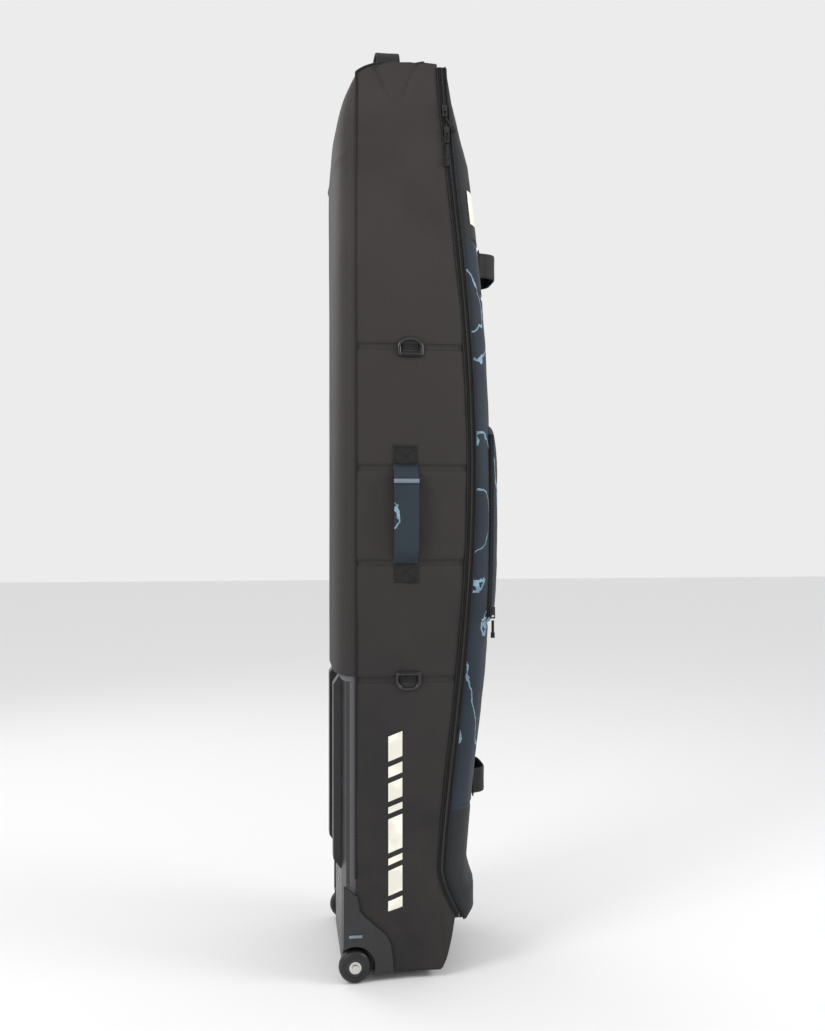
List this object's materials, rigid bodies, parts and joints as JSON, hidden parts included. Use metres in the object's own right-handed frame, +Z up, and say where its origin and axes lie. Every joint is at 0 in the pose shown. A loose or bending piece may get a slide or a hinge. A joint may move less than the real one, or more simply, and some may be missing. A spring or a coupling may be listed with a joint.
{
  "type": "wheeled snowboard bag",
  "caption": "Tall padded fabric snowboard bag on two wheels, with a side-opening zipped lid, a front pocket, webbing handles, D-rings and a moulded base.",
  "frame": {"origin": "on the ground, under the centre of the standing bag", "axes": "+Z up the bag, +X towards the lid, -Y the side with the main zip"},
  "size_m": [0.33, 0.3686, 1.7563],
  "materials": {
    "shell_fabric": "black woven polyester with a slight sheen",
    "print_fabric": "dark blue-grey printed polyester with pale contour lines",
    "lining": "grey lining over foam",
    "webbing": "black ribbed webbing",
    "print_webbing": "blue-grey printed webbing",
    "zip_tape": "black zip tape with a moulded chain",
    "moulded_plastic": "black moulded plastic, satin",
    "hardware": "black glossy hardware",
    "tyre": "black polyurethane",
    "steel": "bright steel",
    "inlay": "blue-grey inlay",
    "rubber": "black rubber"
  },
  "bodies": {
    "tub": {"side_panel_near": "shell_fabric", "side_panel_far": "shell_fabric", "back_panel": "shell_fabric", "top_panel": "shell_fabric", "toe_panel": "shell_fabric", "bottom_panel": "shell_fabric", "side_padding_near": "lining", "side_padding_far": "lining", "back_padding": "lining", "piping_near": "zip_tape", "piping_far": "zip_tape", "base_plate": "moulded_plastic", "base_tray": "moulded_plastic", "skid_rails": "moulded_plastic", "wheel_housing_near": "moulded_plastic", "wheel_housing_far": "moulded_plastic", "housing_inlays": "inlay", "base_feet": "rubber", "base_screws": "steel", "axle_near": "steel", "axle_far": "steel", "zip_tape_tub": "zip_tape", "hinge_strip": "shell_fabric", "side_handle_near": "print_webbing", "side_handle_far": "print_webbing", "top_handle": "webbing", "d_ring_tab_upper": "webbing", "d_ring_tab_lower": "webbing", "inner_straps": "webbing", "strap_buckles": "hardware", "strap_tongues": "hardware"},
    "wheel_near": {"wheel_tyre_near": "tyre", "wheel_hub_near": "moulded_plastic", "wheel_bearings_near": "steel"},
    "wheel_far": {"wheel_tyre_far": "tyre", "wheel_hub_far": "moulded_plastic", "wheel_bearings_far": "steel"},
    "lid": {"zip_tape_lid": "zip_tape", "lid_shell": "print_fabric", "lid_hem_tab": "webbing", "front_pocket": "print_fabric", "pocket_zip_tape": "zip_tape", "front_handle_upper": "webbing", "front_handle_lower": "webbing"},
    "slider_upper": {"main_slider_upper": "hardware"},
    "slider_lower": {"main_slider_lower": "hardware"},
    "pull_upper": {"pull_upper": "hardware", "pull_upper_cord": "webbing"},
    "pull_lower": {"pull_lower": "hardware", "pull_lower_cord": "webbing"},
    "pocket_slider": {"pocket_slider": "hardware"},
    "pocket_pull": {"pocket_pull": "hardware", "pocket_pull_cord": "webbing"},
    "d_ring_upper": {"d_ring_upper": "hardware"},
    "d_ring_lower": {"d_ring_lower": "hardware"}
  },
  "joints": [
    {"name": "wheel_near_spin", "type": "hinge", "parent": "tub", "child": "wheel_near", "pos_m": [-0.129, -0.16, 0.03], "axis": [0, 1, 0], "continuous": true},
    {"name": "wheel_far_spin", "type": "hinge", "parent": "tub", "child": "wheel_far", "pos_m": [-0.129, 0.16, 0.03], "axis": [0, 1, 0], "continuous": true},
    {"name": "lid_open", "type": "hinge", "parent": "tub", "child": "lid", "pos_m": [0.065, 0.161, 0.9], "axis": [0, 0, 1], "range_deg": [0, 110]},
    {"name": "slider_upper_slide", "type": "slide", "parent": "tub", "child": "slider_upper", "axis": [-0.085, 0, 0.9964], "range_m": [0, 0.05]},
    {"name": "slider_lower_slide", "type": "slide", "parent": "tub", "child": "slider_lower", "axis": [0.0981, 0, -0.9952], "range_m": [0, 0.4]},
    {"name": "pull_upper_swing", "type": "hinge", "parent": "slider_upper", "child": "pull_upper", "pos_m": [0.03679, -0.1658, 1.6068], "axis": [-1, 0, 0], "range_deg": [0, 150]},
    {"name": "pull_lower_swing", "type": "hinge", "parent": "slider_lower", "child": "pull_lower", "pos_m": [0.04075, -0.1658, 1.5668], "axis": [-1, 0, 0], "range_deg": [0, 150]},
    {"name": "pocket_slider_slide", "type": "slide", "parent": "lid", "child": "pocket_slider", "axis": [0.0418, 0, 0.9991], "range_m": [0, 0.26]},
    {"name": "pocket_pull_swing", "type": "hinge", "parent": "pocket_slider", "child": "pocket_pull", "pos_m": [0.13411, -0.1298, 0.6748], "axis": [-1, 0, 0], "range_deg": [0, 150]},
    {"name": "d_ring_upper_swing", "type": "hinge", "parent": "tub", "child": "d_ring_upper", "pos_m": [-0.027, -0.1656, 1.152], "axis": [1, 0, 0], "range_deg": [0, 170]},
    {"name": "d_ring_lower_swing", "type": "hinge", "parent": "tub", "child": "d_ring_lower", "pos_m": [-0.031, -0.1656, 0.564], "axis": [-1, 0, 0], "range_deg": [0, 170]}
  ]
}
